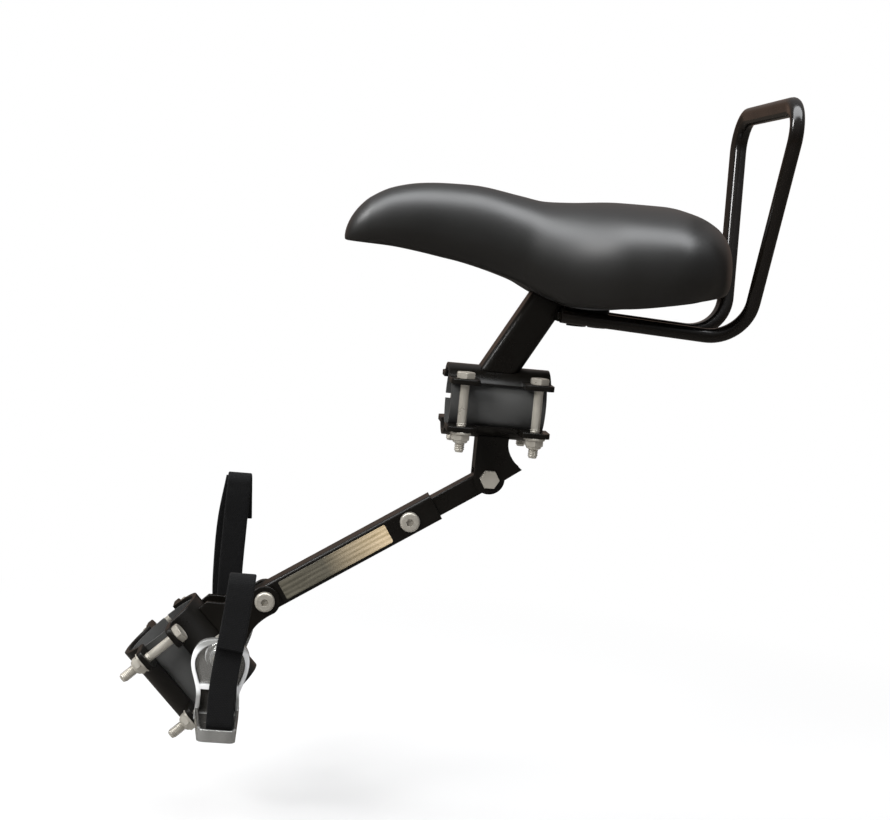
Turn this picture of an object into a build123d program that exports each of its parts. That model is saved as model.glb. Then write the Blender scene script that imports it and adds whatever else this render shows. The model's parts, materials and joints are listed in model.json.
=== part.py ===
from build123d import *
from math import cos, radians, sin
import os

# Child saddle for a bicycle frame, with a rod backrest, two tube clamps, a telescopic strut and footrests.
# Origin at the centre of the top tube's clamp, +X rearwards along the top tube, +Y to the bicycle's right and
# +Z up. All sizes in millimetres.

# Fits
weld_gap = 0.05
seat_gap = 0.05
running_fit = 0.06
slide_gap = 0.3
thread_gap = 0.05
bolt_clearance = 0.25

# Tube clamps
top_tube_radius = 15.9
down_tube_radius = 22.5
top_liner_wall = 2.5
down_liner_wall = 1.5
liner_slit = 3.0
liner_inset = 2.0
shell_wall = 3.0
clamp_bolt_spacing = 43.0
top_ear_length = 17.0
down_ear_length = 13.0
ear_corner = 4.0
ear_edge_margin = 6.0
top_bolt_reach = 27.0
top_gap_above = 11.5
top_gap_below = 13.0
top_bolt_tip = 28.0
down_bolt_reach = 35.0
down_gap_above = 7.0
down_gap_below = 11.0
down_bolt_tip = 30.0

# How the down tube's clamp stands under the strut's lower pivot
pivot_height = 57.0
pivot_ahead = 0.7
down_tube_angle = 46.0

# Fasteners
bolt_radius = 3.0
hex_across_flats = 10.0
hex_head_height = 4.0
nut_height = 5.0
washer_radius = 6.2
washer_height = 1.5
round_head_radius = 5.9
round_head_height = 3.2
key_recess_flats = 4.0
key_recess_depth = 1.8
bolt_end_past_nut = 2.0

# Saddle
saddle_edge_height = 0.30
saddle_shoulder_height = 0.80
saddle_shoulder_width = 0.80
saddle_foot_width = 0.90
base_inset = 7.0
base_wall = 4.0
base_recess = 0.5
pad_front = 36.0
pad_rear = 60.0
pad_half_width = 18.0
pad_height = 15.0
# Each station: place along the saddle, half width, top and bottom
saddle_stations = [
    (-96.5, 8.0, 93.5, 87.0),
    (-90.0, 15.0, 102.5, 86.6),
    (-78.0, 20.5, 114.5, 86.3),
    (-56.0, 24.0, 124.0, 85.0),
    (-26.0, 27.0, 125.7, 80.5),
    (4.0, 34.5, 121.7, 72.0),
    (32.0, 52.0, 120.3, 61.2),
    (60.0, 69.0, 123.2, 63.4),
    (86.0, 75.0, 123.2, 68.0),
    (104.0, 67.5, 119.6, 71.8),
    (115.5, 55.0, 114.0, 74.0),
    (123.5, 38.5, 106.5, 75.7),
    (128.5, 20.0, 97.0, 77.5),
]

# Saddle bracket and seat post
bracket_top = 57.0
block_front = 29.0
block_rear = 60.0
block_height = 5.0
screw_front = 41.5
screw_rear = 54.0
screw_half_spread = 12.0
screw_depth = 11.0
screw_head_height = 2.2
post_width = 22.0
post_depth = 20.5
post_wall = 2.0
post_corner = 4.5
post_foot_x = 0.8
post_foot_z = 21.0
post_head_x = 18.7
post_head_z = 53.0

# Backrest: a bent bar with rounded edges
loop_thickness = 8.2
loop_width = 11.0
loop_corner = 3.6
leg_half_spread = 25.0
leg_front_x = 30.0
leg_front_z = 55.8
leg_rear_x = 138.6
leg_rear_z = 50.7
top_half_spread = 67.0
loop_top_x = 146.0
loop_top_z = 185.2
bottom_bend = 24.0
top_bend = 17.0

# Strut
strut_pivot_drop = 45.0
strut_angle = 33.5
strut_length = 150.2
bar_size = 12.0
bar_length = 104.0
bar_edge = 1.0
tube_wall = 1.7
tube_edge = 2.0
tube_start = 35.6
tube_past_pivot = 8.0
lock_place = 53.2
strut_shorten = 14.0
strut_lengthen = 25.0

# Hanger under the top clamp
hanger_wall = 2.5
hanger_front = 9.2
hanger_web_drop = 39.5
hanger_lug_radius = 9.2
hanger_tail_x = 18.9
hanger_tail_drop = 38.0
hanger_neck_x = 9.4
hanger_neck_drop = 24.0
hanger_root_x = 12.5
hanger_root_drop = 12.0

# Cheeks above the down clamp
cheek_wall = 3.0
cheek_lug_radius = 9.0
cheek_foot_front = 22.0
cheek_foot_rear = 17.0
cheek_foot_height = 31.0
cheek_rear_height = 26.5
cheek_waist = 9.5
cheek_waist_height = 38.0
cheek_front_reach = 15.0
cheek_front_height = 38.0

# Footrests
axle_radius = 4.0
axle_behind = 1.4
axle_height = 24.6
spacer_wall = 2.2
spacer_root = 23.0
footrest_offset = 44.5
footrest_side_gap = 0.4
arm_wall = 3.0
rim_height = 3.0
rim_width = 2.5
hub_radius = 8.9
hub_step = 1.5
boss_radius = 6.9
arm_crown = 9.2
arm_shoulder_half = 12.6
arm_shoulder_height = 6.2
arm_bulge_half = 16.3
arm_bulge_drop = 2.5
arm_waist_half = 12.4
arm_waist_drop = 20.0
arm_foot_half = 12.6
cross_rib_drop = 18.3
ledge_drop = 33.6
ledge_wall = 3.8
ledge_depth = 46.5
ledge_tip_half = 10.4
ledge_tip_shift = 2.0
ledge_corner = 4.0
ledge_rim_width = 1.6
axle_nut_flats = 13.0
axle_nut_height = 6.5
axle_end = 1.0

# Foot straps
strap_width = 15.0
strap_wall = 1.8
strap_gap = 0.3
strap_rim_gap = 1.5
rivet_radius = 2.0
rivet_head_radius = 3.6
rivet_head_height = 1.1
left_strap_place = 2.8
right_strap_place = 1.2
left_strap_top = 51.6
right_strap_top = 86.5
left_flap_end = 11.6
right_flap_end = 56.5
strap_top_reach = 71.5
strap_fold = 3.0
strap_fold_radius = 4.5
strap_bend = 3.0
strap_lift = 2.0
strap_stand_off = 60.5
strap_knee = -9.0
strap_rise_drop = 18.0
strap_foot_drop = 31.0
strap_inner_reach = 64.0
arm_rivet_drop = 25.0
ledge_rivet_reach = 72.0

# Derived places
top_clamp_length = clamp_bolt_spacing + top_ear_length
down_clamp_length = clamp_bolt_spacing + down_ear_length
top_shell_inner = top_tube_radius + top_liner_wall
top_shell_outer = top_shell_inner + shell_wall
down_shell_inner = down_tube_radius + down_liner_wall
down_shell_outer = down_shell_inner + shell_wall
strut_ahead = Vector(-cos(radians(strut_angle)), 0, -sin(radians(strut_angle)))
strut_pivot = Vector(0, 0, -strut_pivot_drop)
lower_pivot = strut_pivot + strut_ahead * strut_length
down_along = Vector(cos(radians(down_tube_angle)), 0, -sin(radians(down_tube_angle)))
down_up = Vector(sin(radians(down_tube_angle)), 0, cos(radians(down_tube_angle)))
down_centre = lower_pivot - down_up * pivot_height + down_along * pivot_ahead
top_centre = Vector(0, 0, 0)
top_along = Vector(1, 0, 0)
top_up = Vector(0, 0, 1)
axle = down_centre + down_up * axle_height + down_along * axle_behind
tube_bore = bar_size + 2 * slide_gap
tube_size = tube_bore + 2 * tube_wall
hanger_half_width = bar_size / 2 + slide_gap + hanger_wall
cheek_inner = tube_size / 2 + slide_gap
cheek_outer = cheek_inner + cheek_wall
arm_outer = footrest_offset + arm_wall
rim_outer = arm_outer + rim_height
strap_base = -ledge_drop + strap_gap + strap_wall / 2
strap_outer = footrest_offset + ledge_depth - ledge_rim_width - strap_rim_gap - strap_wall / 2
strap_lean_start = -ledge_drop + rim_height + strap_lift

# Planes: profiles of the clamps, fasteners across them, the strut and its section
top_profile = Plane(origin=top_centre, x_dir=(0, 1, 0), z_dir=top_along)
top_across = Plane(origin=top_centre, x_dir=(0, 1, 0), z_dir=top_up)
down_profile = Plane(origin=down_centre, x_dir=(0, 1, 0), z_dir=down_along)
down_across = Plane(origin=down_centre, x_dir=(0, 1, 0), z_dir=down_up)
strut_side = Plane(origin=strut_pivot, x_dir=strut_ahead, z_dir=(0, 1, 0))
cheek_side = Plane(origin=down_centre, x_dir=down_along, z_dir=(0, -1, 0))
foot_side = Plane(origin=axle, x_dir=(1, 0, 0), z_dir=(0, -1, 0))


def clamp_half(centre, along, up, inner_radius, gap, bolt_reach, ear_length):
    """Stamped half shell: an arc over the liner with two bolt ears on each side."""
    outer_radius = inner_radius + shell_wall
    reach = bolt_reach + ear_edge_margin
    length = clamp_bolt_spacing + ear_length
    across_dir = up.cross(along)
    profile = Plane(origin=centre, x_dir=across_dir, z_dir=along)
    flange = Plane(origin=centre + up * gap, x_dir=across_dir, z_dir=up)
    with BuildPart() as half:
        with BuildSketch(profile):
            Circle(outer_radius)
            with Locations((0, gap - outer_radius)):
                Rectangle(4 * outer_radius, 2 * outer_radius, mode=Mode.SUBTRACT)
        extrude(amount=length / 2, both=True)
        with BuildSketch(flange):
            with GridLocations(0, clamp_bolt_spacing, 1, 2):
                RectangleRounded(2 * reach, ear_length, ear_corner)
        extrude(amount=shell_wall)
        with BuildSketch(profile):
            Circle(inner_radius)
        extrude(amount=length, both=True, mode=Mode.SUBTRACT)
        with BuildSketch(flange):
            with GridLocations(2 * bolt_reach, clamp_bolt_spacing, 2, 2):
                Circle(bolt_radius + bolt_clearance)
        extrude(amount=shell_wall, mode=Mode.SUBTRACT)
    return half.part


def clamp_liner(profile, radius, wall, length):
    """Rubber sleeve, slit along one side so that it opens round the tube."""
    with BuildPart() as sleeve:
        with BuildSketch(profile):
            Circle(radius + wall - seat_gap)
            Circle(radius, mode=Mode.SUBTRACT)
            with Locations((radius, 0)):
                Rectangle(radius, liner_slit, mode=Mode.SUBTRACT)
        extrude(amount=length / 2 - liner_inset, both=True)
    return sleeve.part


def hex_bolts(across, places, seat, tip):
    """Hexagon-head bolts that hang down from their seat height to their tips."""
    with BuildPart() as bolts:
        with BuildSketch(across.offset(seat)):
            with Locations(*places):
                hex_outline()
        extrude(amount=hex_head_height)
        with BuildSketch(across.offset(seat)):
            with Locations(*places):
                Circle(bolt_radius)
        extrude(amount=-(seat + tip))
    return bolts.part


def hex_outline():
    """Hexagon of a bolt head or nut."""
    RegularPolygon(hex_across_flats / 2, 6, major_radius=False)


def washers(across, places, height):
    """Flat washers that stand up from a height."""
    with BuildPart() as row:
        with BuildSketch(across.offset(height)):
            with Locations(*places):
                Circle(washer_radius)
                Circle(bolt_radius + bolt_clearance, mode=Mode.SUBTRACT)
        extrude(amount=washer_height)
    return row.part


def nuts(across, places, height):
    """Nuts that hang down from a height."""
    with BuildPart() as row:
        with BuildSketch(across.offset(height)):
            with Locations(*places):
                hex_outline()
                Circle(bolt_radius + thread_gap, mode=Mode.SUBTRACT)
        extrude(amount=-nut_height)
    return row.part


def round_head_bolt(place, near_face, far_face):
    """Bolt across the strut with a domed head and a key recess on the near side."""
    head_plane = Plane(origin=(place.X, near_face, place.Z), x_dir=(1, 0, 0), z_dir=(0, -1, 0))
    with BuildPart() as bolt:
        with BuildSketch(head_plane):
            Circle(round_head_radius)
        extrude(amount=round_head_height)
        fillet(bolt.edges().group_by(Axis.Y)[0], round_head_height / 2)
        with BuildSketch(head_plane.offset(round_head_height)):
            RegularPolygon(key_recess_flats / 2, 6, major_radius=False)
        extrude(amount=-key_recess_depth, mode=Mode.SUBTRACT)
        with BuildSketch(head_plane):
            Circle(bolt_radius)
        extrude(amount=-(far_face - near_face + nut_height + bolt_end_past_nut))
    return bolt.part


def cross_nut(place, face):
    """Nut on the far side of a bolt across the strut."""
    nut_plane = Plane(origin=(place.X, face, place.Z), x_dir=(1, 0, 0), z_dir=(0, 1, 0))
    with BuildPart() as nut:
        with BuildSketch(nut_plane):
            hex_outline()
            Circle(bolt_radius + thread_gap, mode=Mode.SUBTRACT)
        extrude(amount=nut_height)
    return nut.part


def save(part, name):
    part.label = name
    export_step(part, "parts/" + name + ".step")


def under_plate(clearance, below, above):
    """Plate that follows the saddle's underside, grown by a clearance and drawn out below or above."""
    with BuildPart() as plate:
        for place, half_width, top, bottom in saddle_stations[2:-2]:
            low = bottom + base_recess - clearance - below
            high = bottom + base_recess + base_wall + clearance + above
            with BuildSketch(Plane.YZ.offset(place)):
                with Locations((0, (low + high) / 2)):
                    Rectangle(2 * (half_width - base_inset + clearance), high - low)
        loft()
    return plate.part


def base_plate(clearance, below):
    """The saddle's base with its pad; with a clearance, the hollow that it sits in."""
    with BuildPart() as plate:
        add(under_plate(clearance, below, 0))
        with BuildSketch(Plane.XY.offset(bracket_top)):
            with Locations(((pad_front + pad_rear) / 2, 0)):
                RectangleRounded(
                    pad_rear - pad_front + 2 * clearance,
                    2 * (pad_half_width + clearance),
                    ear_corner,
                )
        extrude(amount=pad_height + clearance)
    return plate.part


os.makedirs("parts", exist_ok=True)

# Saddle base: plate with a pad down to the bracket, drilled for the screws
with BuildPart() as saddle_base:
    add(base_plate(0, 0))
    with BuildSketch(Plane.XY.offset(bracket_top)):
        with Locations(((screw_front + screw_rear) / 2, 0)):
            with GridLocations(screw_rear - screw_front, 2 * screw_half_spread, 2, 2):
                Circle(bolt_radius + thread_gap)
    extrude(amount=screw_depth, mode=Mode.SUBTRACT)
save(saddle_base.part, "saddle_base")

# Saddle cover: a soft body through the stations, hollowed for the base
with BuildPart() as saddle_cover:
    for place, half_width, top, bottom in saddle_stations:
        height = top - bottom
        foot = half_width * saddle_foot_width
        shoulder = half_width * saddle_shoulder_width
        edge_z = bottom + saddle_edge_height * height
        shoulder_z = bottom + saddle_shoulder_height * height
        with BuildSketch(Plane.YZ.offset(place)):
            with BuildLine():
                Spline(
                    (-foot, bottom),
                    (-half_width, edge_z),
                    (-shoulder, shoulder_z),
                    (0, top),
                    (shoulder, shoulder_z),
                    (half_width, edge_z),
                    (foot, bottom),
                )
                Line((foot, bottom), (-foot, bottom))
            make_face()
    loft()
    add(base_plate(seat_gap, 2 * base_wall), mode=Mode.SUBTRACT)
save(saddle_cover.part, "saddle_cover")

# Backrest loop: one bent bar, legs under the saddle, uprights that spread, and a cross bar
loop_points = [
    (leg_front_x, -leg_half_spread, leg_front_z),
    (leg_rear_x, -leg_half_spread, leg_rear_z),
    (loop_top_x, -top_half_spread, loop_top_z),
    (loop_top_x, top_half_spread, loop_top_z),
    (leg_rear_x, leg_half_spread, leg_rear_z),
    (leg_front_x, leg_half_spread, leg_front_z),
]
leg_plane = Plane(
    origin=loop_points[0],
    x_dir=(0, 1, 0),
    z_dir=Vector(*loop_points[1]) - Vector(*loop_points[0]),
)
with BuildPart() as backrest_loop:
    with BuildLine() as loop_path:
        FilletPolyline(*loop_points, radius=[bottom_bend, top_bend, top_bend, bottom_bend])
    with BuildSketch(leg_plane):
        RectangleRounded(loop_width, loop_thickness, loop_corner)
    sweep(path=loop_path.wires()[0])
save(backrest_loop.part, "backrest_loop")

# Seat post: a leaning tube, coped to the clamp's crown below and to the saddle's underside above
post_bore_width = post_width - 2 * post_wall
post_bore_depth = post_depth - 2 * post_wall
post_lean = Vector(post_head_x - post_foot_x, 0, post_head_z - post_foot_z)
post_plane = Plane(origin=(post_foot_x, 0, post_foot_z), x_dir=(0, 1, 0), z_dir=post_lean)
with BuildPart() as seat_post:
    with BuildSketch(post_plane.offset(-post_width)):
        RectangleRounded(post_width, post_depth, post_corner)
        RectangleRounded(post_bore_width, post_bore_depth, post_corner - post_wall, mode=Mode.SUBTRACT)
    extrude(amount=2 * post_lean.length)
    add(under_plate(weld_gap, 0, 2 * post_width), mode=Mode.SUBTRACT)
    with BuildSketch(Plane.YZ):
        Circle(top_shell_outer + weld_gap)
    extrude(amount=top_clamp_length, both=True, mode=Mode.SUBTRACT)
save(seat_post.part, "seat_post")

# Saddle bracket: a block between the legs, welded to them and to the back of the post
with BuildPart() as saddle_bracket:
    with BuildSketch(Plane.XY.offset(bracket_top)):
        with Locations(((block_front + block_rear) / 2, 0)):
            Rectangle(block_rear - block_front, 2 * leg_half_spread)
    extrude(amount=-block_height)
    with BuildSketch(leg_plane):
        RectangleRounded(loop_width + 2 * weld_gap, loop_thickness + 2 * weld_gap, loop_corner + weld_gap)
        with Locations((2 * leg_half_spread, 0)):
            RectangleRounded(loop_width + 2 * weld_gap, loop_thickness + 2 * weld_gap, loop_corner + weld_gap)
    extrude(amount=2 * block_rear, both=True, mode=Mode.SUBTRACT)
    with BuildSketch(post_plane):
        RectangleRounded(post_width + 2 * weld_gap, post_depth + 2 * weld_gap, post_corner + weld_gap)
    extrude(amount=2 * post_lean.length, mode=Mode.SUBTRACT)
    with BuildSketch(Plane.XY.offset(bracket_top)):
        with Locations(((screw_front + screw_rear) / 2, 0)):
            with GridLocations(screw_rear - screw_front, 2 * screw_half_spread, 2, 2):
                Circle(bolt_radius + bolt_clearance)
    extrude(amount=-block_height, mode=Mode.SUBTRACT)
save(saddle_bracket.part, "saddle_bracket")

# Saddle screws
with BuildPart() as saddle_screws:
    with BuildSketch(Plane.XY.offset(bracket_top - block_height)):
        with Locations(((screw_front + screw_rear) / 2, 0)):
            with GridLocations(screw_rear - screw_front, 2 * screw_half_spread, 2, 2):
                hex_outline()
    extrude(amount=-screw_head_height)
    with BuildSketch(Plane.XY.offset(bracket_top - block_height)):
        with Locations(((screw_front + screw_rear) / 2, 0)):
            with GridLocations(screw_rear - screw_front, 2 * screw_half_spread, 2, 2):
                Circle(bolt_radius)
    extrude(amount=block_height + screw_depth - thread_gap)
save(saddle_screws.part, "saddle_screws")

# Top clamp
top_places = [
    (side * top_bolt_reach, end * clamp_bolt_spacing / 2)
    for side in (-1, 1)
    for end in (-1, 1)
]
top_seat = top_gap_above + shell_wall
top_washer = -top_gap_below - shell_wall - washer_height
top_upper = clamp_half(
    top_centre, top_along, top_up, top_shell_inner, top_gap_above, top_bolt_reach, top_ear_length
)
top_lower = clamp_half(
    top_centre, top_along, -top_up, top_shell_inner, top_gap_below, top_bolt_reach, top_ear_length
)
save(top_upper, "top_clamp_upper")
save(top_lower, "top_clamp_lower")
save(clamp_liner(top_profile, top_tube_radius, top_liner_wall, top_clamp_length), "top_clamp_liner")
save(hex_bolts(top_across, top_places, top_seat, top_bolt_tip), "top_clamp_bolts")
save(washers(top_across, top_places, top_washer), "top_clamp_washers")
save(nuts(top_across, top_places, top_washer), "top_clamp_nuts")

# Strut hanger: a folded channel under the top clamp, open to the rear, with lugs for the pivot bolt
with BuildPart() as strut_hanger:
    with BuildSketch(Plane.XZ):
        with BuildLine():
            Polyline(
                (hanger_root_x, -hanger_root_drop),
                (-hanger_front, -hanger_root_drop),
                (-hanger_front, -hanger_web_drop),
                (-hanger_lug_radius, -strut_pivot_drop),
            )
            ThreePointArc(
                (-hanger_lug_radius, -strut_pivot_drop),
                (0, -strut_pivot_drop - hanger_lug_radius),
                (hanger_lug_radius, -strut_pivot_drop),
            )
            Line((hanger_lug_radius, -strut_pivot_drop), (hanger_tail_x, -hanger_tail_drop))
            Spline(
                (hanger_tail_x, -hanger_tail_drop),
                (hanger_neck_x, -hanger_neck_drop),
                (hanger_root_x, -hanger_root_drop),
            )
        make_face()
    extrude(amount=hanger_half_width, both=True)
    with BuildSketch(Plane.XZ):
        with Locations((hanger_wall, -strut_pivot_drop / 2)):
            Rectangle(2 * hanger_front, 2 * strut_pivot_drop)
        with Locations((-hanger_front, -hanger_web_drop - strut_pivot_drop / 2)):
            Rectangle(2 * hanger_front, strut_pivot_drop)
        with Locations((2 * hanger_front, -strut_pivot_drop / 2)):
            Rectangle(2 * hanger_front, 2 * strut_pivot_drop)
    extrude(amount=hanger_half_width - hanger_wall, both=True, mode=Mode.SUBTRACT)
    with BuildSketch(Plane.XZ):
        with Locations((0, -strut_pivot_drop)):
            Circle(bolt_radius + bolt_clearance)
    extrude(amount=hanger_half_width, both=True, mode=Mode.SUBTRACT)
    with BuildSketch(Plane.YZ):
        Circle(top_shell_outer + weld_gap)
    extrude(amount=top_clamp_length, both=True, mode=Mode.SUBTRACT)
save(strut_hanger.part, "strut_hanger")

# Strut pivot: hexagon bolt through the hanger and the bar
pivot_across = Plane(origin=strut_pivot, x_dir=(1, 0, 0), z_dir=(0, -1, 0))
pivot_tip = hanger_half_width + nut_height + bolt_end_past_nut
save(hex_bolts(pivot_across, [(0, 0)], hanger_half_width, pivot_tip), "strut_pivot_bolt")
save(cross_nut(strut_pivot, hanger_half_width), "strut_pivot_nut")

# Inner bar: square, with a round end at the pivot and a slot for the lock bolt
slot_start = lock_place - strut_shorten - bolt_radius - slide_gap
slot_end = lock_place + strut_lengthen + bolt_radius + slide_gap
with BuildPart() as strut_inner_bar:
    with BuildSketch(strut_side):
        Circle(bar_size / 2)
        with Locations((bar_length / 2, 0)):
            Rectangle(bar_length, bar_size)
    extrude(amount=bar_size / 2, both=True)
    long_edges = strut_inner_bar.edges().filter_by(Axis(strut_pivot, strut_ahead))
    fillet(long_edges.filter_by(lambda e: e.length > bar_size), bar_edge)
    with BuildSketch(strut_side):
        Circle(bolt_radius + running_fit)
        with Locations(((slot_start + slot_end) / 2, 0)):
            SlotOverall(slot_end - slot_start, 2 * (bolt_radius + slide_gap))
    extrude(amount=bar_size, both=True, mode=Mode.SUBTRACT)
save(strut_inner_bar.part, "strut_inner_bar")

# Outer tube: square tube over the bar, drilled for the lock bolt and the lower pivot
tube_length = strut_length + tube_past_pivot - tube_start
tube_section = Plane(origin=strut_pivot + strut_ahead * tube_start, x_dir=(0, 1, 0), z_dir=strut_ahead)
with BuildPart() as strut_outer_tube:
    with BuildSketch(tube_section):
        RectangleRounded(tube_size, tube_size, tube_edge)
        RectangleRounded(tube_bore, tube_bore, tube_edge / 3, mode=Mode.SUBTRACT)
    extrude(amount=tube_length)
    with BuildSketch(strut_side):
        with Locations((lock_place, 0)):
            Circle(bolt_radius + bolt_clearance)
        with Locations((strut_length, 0)):
            Circle(bolt_radius + running_fit)
    extrude(amount=tube_size, both=True, mode=Mode.SUBTRACT)
save(strut_outer_tube.part, "strut_outer_tube")

# Lock bolt and lower pivot bolt
lock_point = strut_pivot + strut_ahead * lock_place
save(round_head_bolt(lock_point, -tube_size / 2, tube_size / 2), "strut_lock_bolt")
save(cross_nut(lock_point, tube_size / 2), "strut_lock_nut")
save(round_head_bolt(lower_pivot, -cheek_outer, cheek_outer), "lower_pivot_bolt")
save(cross_nut(lower_pivot, cheek_outer), "lower_pivot_nut")

# Cheeks: two plates on the crown of the down clamp, with the strut's pivot between their lugs
with BuildPart() as bracket_cheeks:
    with BuildSketch(cheek_side):
        with BuildLine():
            Line((cheek_foot_rear, 0), (cheek_foot_rear, cheek_rear_height))
            Spline(
                (cheek_foot_rear, cheek_rear_height),
                (cheek_waist - pivot_ahead, cheek_waist_height),
                (cheek_lug_radius - pivot_ahead, pivot_height),
            )
            ThreePointArc(
                (cheek_lug_radius - pivot_ahead, pivot_height),
                (-pivot_ahead, pivot_height + cheek_lug_radius),
                (-cheek_lug_radius - pivot_ahead, pivot_height),
            )
            Polyline(
                (-cheek_lug_radius - pivot_ahead, pivot_height),
                (-cheek_front_reach, cheek_front_height),
                (-cheek_foot_front, cheek_foot_height),
                (-cheek_foot_front, 0),
                (cheek_foot_rear, 0),
            )
        make_face()
    extrude(amount=cheek_outer, both=True)
    with BuildSketch(cheek_side):
        Rectangle(8 * cheek_foot_front, 8 * cheek_foot_height)
    extrude(amount=cheek_inner, both=True, mode=Mode.SUBTRACT)
    with BuildSketch(cheek_side):
        with Locations((-pivot_ahead, pivot_height)):
            Circle(bolt_radius + bolt_clearance)
    extrude(amount=cheek_outer, both=True, mode=Mode.SUBTRACT)
    with BuildSketch(down_profile):
        Circle(down_shell_outer + weld_gap)
    extrude(amount=down_clamp_length, both=True, mode=Mode.SUBTRACT)
save(bracket_cheeks.part, "bracket_cheeks")

# Down clamp
down_places = [
    (side * down_bolt_reach, end * clamp_bolt_spacing / 2)
    for side in (-1, 1)
    for end in (-1, 1)
]
down_seat = down_gap_above + shell_wall
down_washer = -down_gap_below - shell_wall - washer_height
down_upper = clamp_half(
    down_centre, down_along, down_up, down_shell_inner, down_gap_above, down_bolt_reach, down_ear_length
)
down_lower = clamp_half(
    down_centre, down_along, -down_up, down_shell_inner, down_gap_below, down_bolt_reach, down_ear_length
)
save(down_upper, "down_clamp_upper")
save(down_lower, "down_clamp_lower")
save(clamp_liner(down_profile, down_tube_radius, down_liner_wall, down_clamp_length), "down_clamp_liner")
save(hex_bolts(down_across, down_places, down_seat, down_bolt_tip), "down_clamp_bolts")
save(washers(down_across, down_places, down_washer), "down_clamp_washers")
save(nuts(down_across, down_places, down_washer), "down_clamp_nuts")

# Footrest axle: a stub out of each cheek over the clamp's shoulder, with a spacer and a nut on its end
nut_inner = rim_outer + footrest_side_gap
axle_half_length = nut_inner + axle_nut_height + axle_end
axle_plane = Plane(origin=axle, x_dir=(1, 0, 0), z_dir=(0, 1, 0))
with BuildPart() as footrest_axle:
    with BuildSketch(axle_plane):
        Circle(axle_radius)
    extrude(amount=axle_half_length, both=True)
    with BuildSketch(axle_plane):
        Circle(4 * axle_radius)
    extrude(amount=cheek_outer + weld_gap, both=True, mode=Mode.SUBTRACT)
    with BuildSketch(down_profile):
        Circle(down_shell_outer + weld_gap)
    extrude(amount=down_clamp_length, both=True, mode=Mode.SUBTRACT)
save(footrest_axle.part, "footrest_axle")

with BuildPart() as axle_spacers:
    with BuildSketch(axle_plane):
        Circle(axle_radius + spacer_wall)
        Circle(axle_radius + seat_gap, mode=Mode.SUBTRACT)
    extrude(amount=footrest_offset - footrest_side_gap, both=True)
    with BuildSketch(axle_plane):
        Circle(4 * axle_radius)
    extrude(amount=spacer_root, both=True, mode=Mode.SUBTRACT)
    with BuildSketch(down_profile):
        Circle(down_shell_outer + weld_gap)
    extrude(amount=down_clamp_length, both=True, mode=Mode.SUBTRACT)
save(axle_spacers.part, "axle_spacers")

with BuildPart() as axle_nuts:
    for side in (-1, 1):
        with BuildSketch(axle_plane.offset(side * nut_inner)):
            RegularPolygon(axle_nut_flats / 2, 6, major_radius=False)
            Circle(axle_radius + thread_gap, mode=Mode.SUBTRACT)
        extrude(amount=side * axle_nut_height)
save(axle_nuts.part, "axle_nuts")


def arm_outline(inset, mode):
    """Outline of a footrest's arm, drawn in by an inset: a broad head, a waist and a straight foot."""
    crown = arm_crown - inset
    shoulder = arm_shoulder_half - inset
    shoulder_height = arm_shoulder_height - inset
    bulge = arm_bulge_half - inset
    waist = arm_waist_half - inset
    foot = arm_foot_half - inset
    foot_height = -ledge_drop - ledge_wall + inset
    with BuildLine() as edge:
        Spline(
            (-foot, foot_height),
            (-waist, -arm_waist_drop),
            (-bulge, -arm_bulge_drop),
            (-shoulder, shoulder_height),
            (0, crown),
            (shoulder, shoulder_height),
            (bulge, -arm_bulge_drop),
            (waist, -arm_waist_drop),
            (foot, foot_height),
            tangents=((0, 1), (0, -1)),
        )
        Line((foot, foot_height), (-foot, foot_height))
    make_face(edge.edges(), mode=mode)


def tray_outline(inset, mode):
    """Outline of a footrest's tray seen from above, narrower outwards, drawn in by an inset."""
    root = arm_foot_half - inset
    tip = ledge_tip_half - inset
    reach = footrest_offset + ledge_depth - inset
    with BuildLine() as edge:
        FilletPolyline(
            (-root, -footrest_offset),
            (ledge_tip_shift - tip, -reach),
            (ledge_tip_shift + tip, -reach),
            (root, -footrest_offset),
            radius=[ledge_corner - inset, ledge_corner - inset],
        )
        Line((root, -footrest_offset), (-root, -footrest_offset))
    make_face(edge.edges(), mode=mode)


def footrest(mirrored, strap_place):
    """Plated stirrup: an arm with a stepped hub on the axle and a foot tray, with a raised rim round both."""
    tray_plane = Plane(origin=axle, x_dir=(1, 0, 0), z_dir=(0, 0, 1)).offset(-ledge_drop)
    with BuildPart() as stirrup:
        with BuildSketch(foot_side.offset(footrest_offset)):
            arm_outline(0, Mode.ADD)
        extrude(amount=arm_wall)
        with BuildSketch(foot_side.offset(arm_outer)):
            arm_outline(0, Mode.ADD)
            arm_outline(rim_width, Mode.SUBTRACT)
            with Locations((0, -cross_rib_drop)):
                Rectangle(2 * arm_waist_half - rim_width, rim_height)
            Circle(boss_radius)
        extrude(amount=rim_height)
        with BuildSketch(foot_side.offset(arm_outer)):
            Circle(hub_radius)
        extrude(amount=hub_step)
        with BuildSketch(tray_plane):
            tray_outline(0, Mode.ADD)
        extrude(amount=-ledge_wall)
        with BuildSketch(tray_plane):
            tray_outline(0, Mode.ADD)
            tray_outline(ledge_rim_width, Mode.SUBTRACT)
        extrude(amount=rim_height)
        with BuildSketch(foot_side):
            Circle(axle_radius + running_fit)
            with Locations((strap_place, -arm_rivet_drop)):
                Circle(rivet_radius + seat_gap)
        extrude(amount=2 * rim_outer, mode=Mode.SUBTRACT)
        with BuildSketch(tray_plane):
            with Locations((strap_place, -ledge_rivet_reach)):
                Circle(rivet_radius + seat_gap)
        extrude(amount=-2 * ledge_wall, mode=Mode.SUBTRACT)
        if mirrored:
            mirror(about=Plane.XZ, mode=Mode.REPLACE)
    return stirrup.part


save(footrest(False, left_strap_place), "left_footrest")
save(footrest(True, right_strap_place), "right_footrest")


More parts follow.
